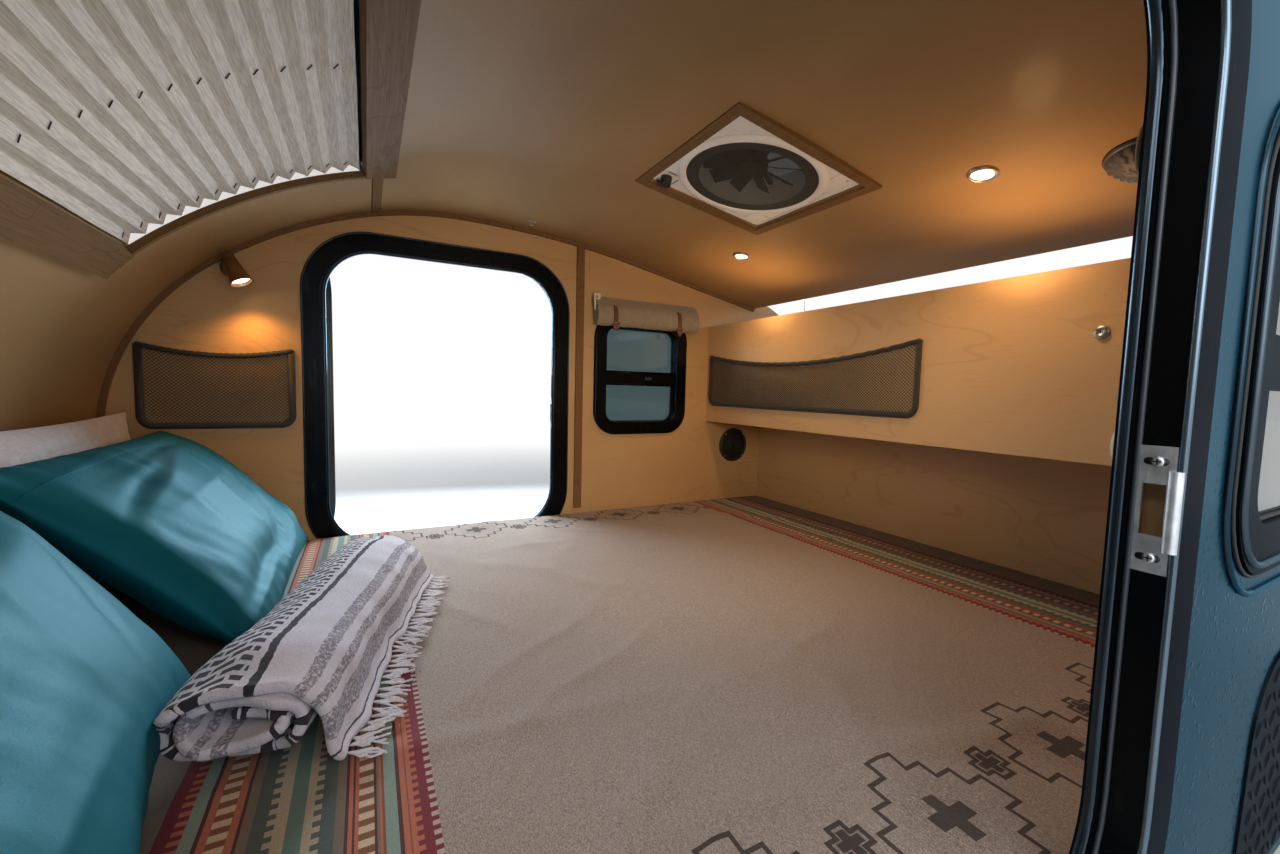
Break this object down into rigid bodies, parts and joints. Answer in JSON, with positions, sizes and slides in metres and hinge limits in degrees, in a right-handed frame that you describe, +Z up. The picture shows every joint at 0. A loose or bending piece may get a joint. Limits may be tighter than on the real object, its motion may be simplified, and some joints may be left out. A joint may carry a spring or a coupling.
{
  "type": "teardrop trailer cabin",
  "caption": "Teardrop trailer cabin with side doors, windows, roof vent, skylight, rear galley hatch and a made bed, lifted off its chassis.",
  "frame": {"origin": "middle of the chassis bolt pattern, on the floor's underside", "axes": "+Z up, -X towards the front of the trailer, +Y to its right-hand side"},
  "size_m": [3.168, 2.9508, 1.407],
  "materials": {
    "floor_board": "sealed",
    "wall_ply": "satin varnish",
    "birch_ply": "satin varnish",
    "oak": "satin varnish",
    "black_frame": "powder coated",
    "door_skin": "metallic gloss",
    "tread_plate": "powder coated tread",
    "zinc": "zinc plated",
    "satin_nickel": "satin",
    "smoked_acrylic": "smoked",
    "tinted_glass": "tinted",
    "white_plastic": "smooth",
    "dark_plastic": "matte",
    "lamp_lens": "frosted",
    "net": "elastic net",
    "canvas": "canvas",
    "shade_fabric": "pleated",
    "mattress_foam": "quilted",
    "wool": "woven",
    "wool_white": "woven",
    "satin_teal": "satin",
    "linen_tan": "woven"
  },
  "bodies": {
    "cabin": {"back_pillows": "linen_tan", "bedspread": "wool", "cabinet_face": "birch_ply", "cabinet_lock": "satin_nickel", "cabinet_pocket": "net", "cable_port": "white_plastic", "ceiling_grille": "dark_plastic", "ceiling_trim": "oak", "curtain_rolls": "canvas", "door_frame_left": "black_frame", "door_frame_right": "black_frame", "downlights": "lamp_lens", "edge_mouldings": "black_frame", "fan_motor": "dark_plastic", "floor_deck": "floor_board", "front_pillows": "satin_teal", "galley_counter": "birch_ply", "galley_shelving": "birch_ply", "guard_plates": "tread_plate", "mattress": "mattress_foam", "reading_lamps": "satin_nickel", "rear_bulkhead": "birch_ply", "roof_fittings": "zinc", "roof_shell": "wall_ply", "side_pockets": "net", "side_wall_left": "wall_ply", "side_wall_right": "wall_ply", "skylight_frame": "black_frame", "skylight_pane": "smoked_acrylic", "skylight_shade": "shade_fabric", "speakers": "dark_plastic", "strike_plates": "zinc", "throw_roll": "wool_white", "vent_base": "white_plastic", "wall_battens": "oak", "window_frames": "black_frame", "window_glass": "tinted_glass"},
    "door_left": {"door_left": "door_skin", "door_window_left": "black_frame", "door_latch_left": "dark_plastic"},
    "door_right": {"door_right": "door_skin", "door_window_right": "black_frame", "door_latch_right": "dark_plastic"},
    "hatch": {"hatch_panel": "wall_ply", "hatch_fittings": "zinc", "hatch_latch": "black_frame"},
    "strut_cylinders": {"strut_cylinders": "black_frame"},
    "strut_rods": {"strut_rods": "zinc"},
    "vent_lid": {"vent_lid": "smoked_acrylic"},
    "fan": {"fan_rotor": "dark_plastic"}
  },
  "joints": [
    {"name": "door_right_hinge", "type": "hinge", "parent": "cabin", "child": "door_right", "pos_m": [-0.831, 0.816, 0.502], "axis": [0, 0, 1], "range_deg": [-110, 50]},
    {"name": "door_left_hinge", "type": "hinge", "parent": "cabin", "child": "door_left", "pos_m": [-0.831, -0.816, 0.502], "axis": [0, 0, -1], "range_deg": [-110, 50]},
    {"name": "hatch_hinge", "type": "hinge", "parent": "cabin", "child": "hatch", "pos_m": [0.76117, 0, 0.99029], "axis": [0, -1, 0], "range_deg": [-78, 0]},
    {"name": "strut_swing", "type": "hinge", "parent": "cabin", "child": "strut_cylinders", "pos_m": [1.115, 0, 0.308], "axis": [0, -1, 0], "range_deg": [0, 7.87]},
    {"name": "strut_stroke", "type": "slide", "parent": "strut_cylinders", "child": "strut_rods", "axis": [-0.1385, 0, 0.9904], "range_m": [-0.35368, 0]},
    {"name": "vent_lid_hinge", "type": "hinge", "parent": "cabin", "child": "vent_lid", "pos_m": [0.28811, 0, 1.12639], "axis": [0, 1, 0], "range_deg": [0, 75]},
    {"name": "fan_spin", "type": "hinge", "parent": "cabin", "child": "fan", "pos_m": [0.08195, 0, 1.11218], "axis": [0.1648, 0, 0.9863], "continuous": true}
  ],
  "couplings": [
    {"joint": "strut_swing", "follows": "hatch_hinge", "ratio": -0.10075},
    {"joint": "strut_stroke", "follows": "hatch_hinge", "m_per_rad": 0.25973}
  ]
}
